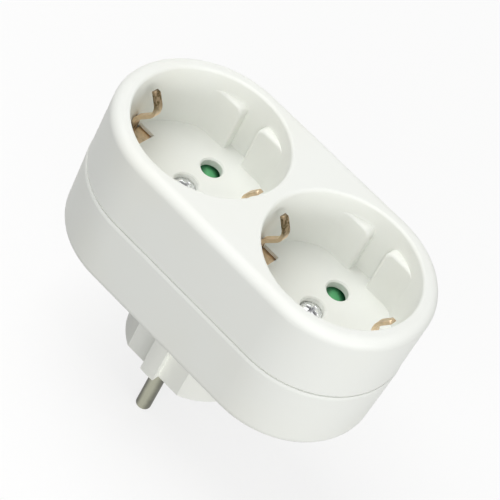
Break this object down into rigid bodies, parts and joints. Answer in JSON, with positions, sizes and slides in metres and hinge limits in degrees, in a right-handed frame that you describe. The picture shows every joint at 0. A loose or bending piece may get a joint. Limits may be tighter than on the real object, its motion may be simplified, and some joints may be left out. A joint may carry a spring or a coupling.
{
  "type": "multi socket adapter",
  "caption": "Earthed multi-way socket adapter: a white stadium body with round recessed sockets, brass side earth clips and turning shutters, on a round plug with solid pins.",
  "frame": {"origin": "centre of the plug's end face, midway between the two pins", "axes": "+Z out of the sockets, +X from socket to socket along the body, +Y along each pair of pins or pin holes"},
  "size_m": [0.091, 0.0476, 0.0764],
  "materials": {
    "white_plastic": "fine satin moulding",
    "green_plastic": "satin",
    "brass": "rolled strip, slightly dulled",
    "nickel_brass": "turned and nickel plated",
    "zinc_steel": "bright zinc plate",
    "spring_steel": "drawn wire"
  },
  "bodies": {
    "body": {"front_cover": "white_plastic", "rear_housing": "white_plastic", "line_pin": "nickel_brass", "neutral_pin": "nickel_brass", "line_busbar": "brass", "neutral_busbar": "brass", "line_clip_a": "brass", "line_clip_b": "brass", "neutral_clip_a": "brass", "neutral_clip_b": "brass", "clip_rivets": "brass", "earth_bracket_a": "brass", "earth_bracket_b": "brass", "plug_earth_strip": "brass", "earth_rivets": "brass", "shutter_spring_a": "spring_steel", "shutter_spring_b": "spring_steel", "cover_screw_a": "zinc_steel", "cover_screw_b": "zinc_steel"},
    "shutter_a": {"shutter_a": "green_plastic"},
    "shutter_b": {"shutter_b": "green_plastic"}
  },
  "joints": [
    {"name": "shutter_a_turn", "type": "hinge", "parent": "body", "child": "shutter_a", "pos_m": [-0.0213, 0, 0.0368], "axis": [0, 0, 1], "range_deg": [0, 42], "stiffness_Nm_per_rad": 0.002, "deforming": ["shutter_spring_a"]},
    {"name": "shutter_b_turn", "type": "hinge", "parent": "body", "child": "shutter_b", "pos_m": [0.0213, 0, 0.0368], "axis": [0, 0, 1], "range_deg": [0, 42], "stiffness_Nm_per_rad": 0.002, "deforming": ["shutter_spring_b"]}
  ]
}
